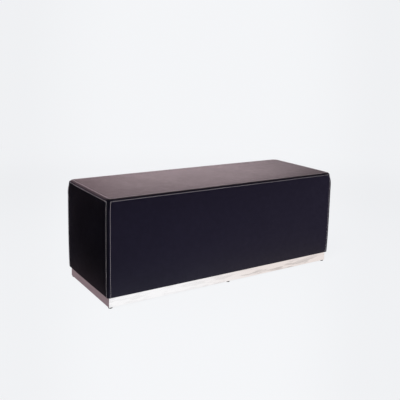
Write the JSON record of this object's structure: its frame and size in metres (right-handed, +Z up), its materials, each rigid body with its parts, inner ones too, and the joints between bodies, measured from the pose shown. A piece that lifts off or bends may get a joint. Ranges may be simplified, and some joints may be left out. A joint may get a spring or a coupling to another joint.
{
  "type": "leather ottoman bench",
  "caption": "Low rectangular bench: a padded leather block on a recessed polished steel plinth, with levelling glides under its rails.",
  "frame": {"origin": "on the floor, under the centre of the bench", "axes": "+Z up, +X along the bench's length to the right seen from the front, the front faces -Y"},
  "size_m": [1.2, 0.45, 0.4499],
  "materials": {
    "leather": "satin",
    "thread": "matte",
    "wadding": "matte",
    "foam": "matte",
    "plywood": "matte",
    "softwood": "matte",
    "plinth_wood": "matte",
    "polished_steel": "polished",
    "dust_cloth": "matte",
    "zinc_screws": "satin",
    "staple_wire": "satin",
    "brass_insert": "satin",
    "glide_plastic": "matte",
    "glide_steel": "satin"
  },
  "bodies": {
    "root": {"leather_top": "leather", "leather_front": "leather", "leather_back": "leather", "leather_left_end": "leather", "leather_right_end": "leather", "top_wadding": "wadding", "foam_top": "foam", "foam_front": "foam", "foam_back": "foam", "foam_left_end": "foam", "foam_right_end": "foam", "top_board": "plywood", "bottom_board": "plywood", "front_board": "plywood", "back_board": "plywood", "left_end_board": "plywood", "right_end_board": "plywood", "left_rib": "plywood", "right_rib": "plywood", "batten_front_left": "softwood", "batten_front_right": "softwood", "batten_back_left": "softwood", "batten_back_right": "softwood", "rail_front": "plinth_wood", "rail_back": "plinth_wood", "rail_left": "plinth_wood", "rail_right": "plinth_wood", "rail_middle": "plinth_wood", "steel_front": "polished_steel", "steel_back": "polished_steel", "steel_left": "polished_steel", "steel_right": "polished_steel", "dust_cover": "dust_cloth", "carcass_screws": "zinc_screws", "rail_screws": "zinc_screws", "plinth_screws": "zinc_screws", "leather_staples": "staple_wire", "dust_cover_staples": "staple_wire", "glide_inserts": "brass_insert"},
    "foot_front_left": {"glide_foot_front_left": "glide_plastic"},
    "stem_front_left": {"glide_stem_front_left": "glide_steel"},
    "foot_front_middle": {"glide_foot_front_middle": "glide_plastic"},
    "stem_front_middle": {"glide_stem_front_middle": "glide_steel"},
    "foot_front_right": {"glide_foot_front_right": "glide_plastic"},
    "stem_front_right": {"glide_stem_front_right": "glide_steel"},
    "foot_back_left": {"glide_foot_back_left": "glide_plastic"},
    "stem_back_left": {"glide_stem_back_left": "glide_steel"},
    "foot_back_middle": {"glide_foot_back_middle": "glide_plastic"},
    "stem_back_middle": {"glide_stem_back_middle": "glide_steel"},
    "foot_back_right": {"glide_foot_back_right": "glide_plastic"},
    "stem_back_right": {"glide_stem_back_right": "glide_steel"}
  },
  "joints": [
    {"name": "glide_drop_front_left", "type": "slide", "parent": "root", "child": "foot_front_left", "axis": [0, 0, -1], "range_m": [0, 0.01]},
    {"name": "glide_turn_front_left", "type": "hinge", "parent": "foot_front_left", "child": "stem_front_left", "pos_m": [-0.57, -0.195, 0], "axis": [0, 0, -1], "range_deg": [0, 3601]},
    {"name": "glide_drop_front_middle", "type": "slide", "parent": "root", "child": "foot_front_middle", "axis": [0, 0, -1], "range_m": [0, 0.01]},
    {"name": "glide_turn_front_middle", "type": "hinge", "parent": "foot_front_middle", "child": "stem_front_middle", "pos_m": [0, -0.195, 0], "axis": [0, 0, -1], "range_deg": [0, 3601]},
    {"name": "glide_drop_front_right", "type": "slide", "parent": "root", "child": "foot_front_right", "axis": [0, 0, -1], "range_m": [0, 0.01]},
    {"name": "glide_turn_front_right", "type": "hinge", "parent": "foot_front_right", "child": "stem_front_right", "pos_m": [0.57, -0.195, 0], "axis": [0, 0, -1], "range_deg": [0, 3601]},
    {"name": "glide_drop_back_left", "type": "slide", "parent": "root", "child": "foot_back_left", "axis": [0, 0, -1], "range_m": [0, 0.01]},
    {"name": "glide_turn_back_left", "type": "hinge", "parent": "foot_back_left", "child": "stem_back_left", "pos_m": [-0.57, 0.195, 0], "axis": [0, 0, -1], "range_deg": [0, 3601]},
    {"name": "glide_drop_back_middle", "type": "slide", "parent": "root", "child": "foot_back_middle", "axis": [0, 0, -1], "range_m": [0, 0.01]},
    {"name": "glide_turn_back_middle", "type": "hinge", "parent": "foot_back_middle", "child": "stem_back_middle", "pos_m": [0, 0.195, 0], "axis": [0, 0, -1], "range_deg": [0, 3601]},
    {"name": "glide_drop_back_right", "type": "slide", "parent": "root", "child": "foot_back_right", "axis": [0, 0, -1], "range_m": [0, 0.01]},
    {"name": "glide_turn_back_right", "type": "hinge", "parent": "foot_back_right", "child": "stem_back_right", "pos_m": [0.57, 0.195, 0], "axis": [0, 0, -1], "range_deg": [0, 3601]}
  ],
  "couplings": [
    {"joint": "glide_turn_front_left", "follows": "glide_drop_front_left", "rad_per_m": 6283.2},
    {"joint": "glide_turn_front_middle", "follows": "glide_drop_front_middle", "rad_per_m": 6283.2},
    {"joint": "glide_turn_front_right", "follows": "glide_drop_front_right", "rad_per_m": 6283.2},
    {"joint": "glide_turn_back_left", "follows": "glide_drop_back_left", "rad_per_m": 6283.2},
    {"joint": "glide_turn_back_middle", "follows": "glide_drop_back_middle", "rad_per_m": 6283.2},
    {"joint": "glide_turn_back_right", "follows": "glide_drop_back_right", "rad_per_m": 6283.2}
  ]
}
